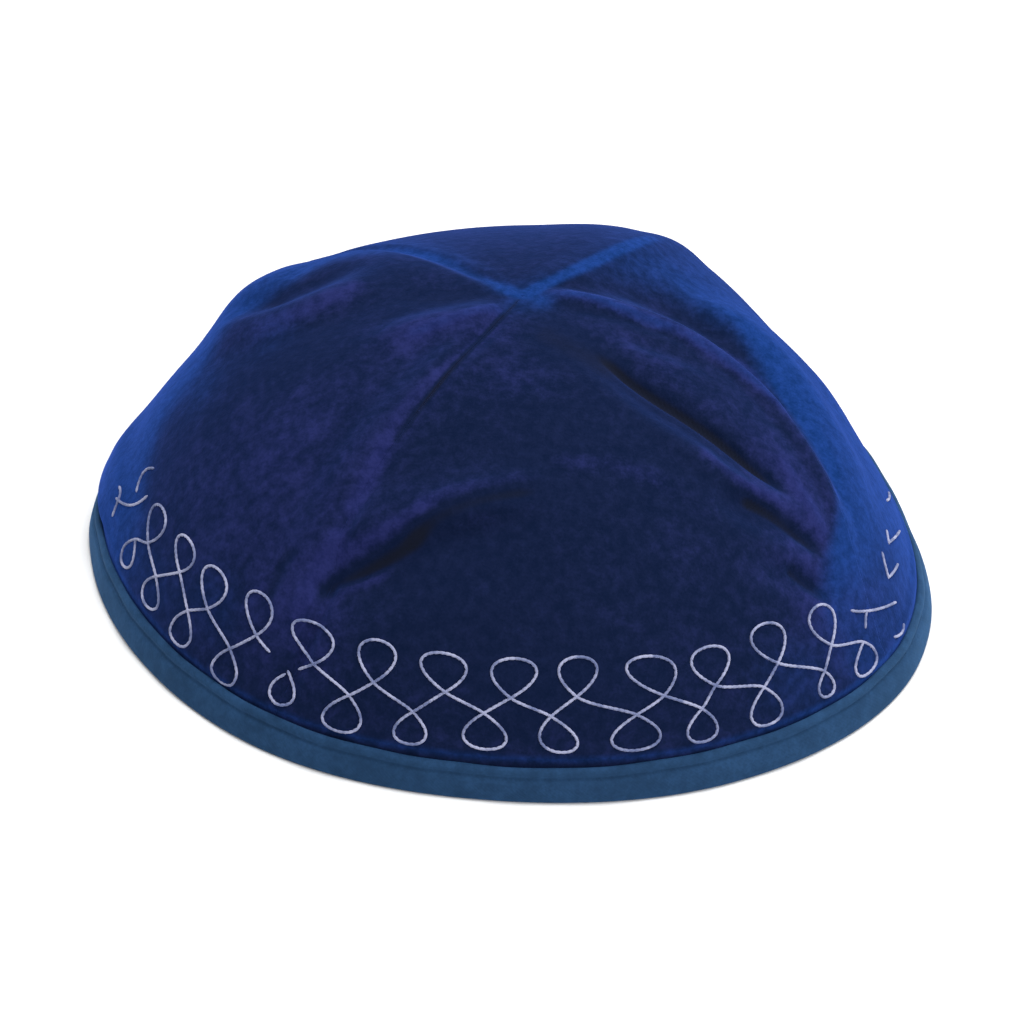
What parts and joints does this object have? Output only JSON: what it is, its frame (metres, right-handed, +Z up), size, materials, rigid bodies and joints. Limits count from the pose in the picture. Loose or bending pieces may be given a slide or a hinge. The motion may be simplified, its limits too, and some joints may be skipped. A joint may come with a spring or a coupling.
{
  "type": "kippah skullcap",
  "caption": "Shallow domed velvet skullcap of sewn gore panels with a folded tape binding round its open rim.",
  "frame": {"origin": "middle of the rim, on the surface that the cap rests on", "axes": "+Z up through the apex, -Y to the front of the cap, +X to the viewer's right"},
  "size_m": [0.1822, 0.1826, 0.064],
  "materials": {
    "velvet": "dark blue velvet pile",
    "binding_tape": "matte blue bias tape",
    "embroidery_thread": "pale silver thread"
  },
  "bodies": {
    "root": {"panel_front": "velvet", "panel_right": "velvet", "panel_back": "velvet", "panel_left": "velvet", "rim_binding": "binding_tape"}
  },
  "joints": []
}
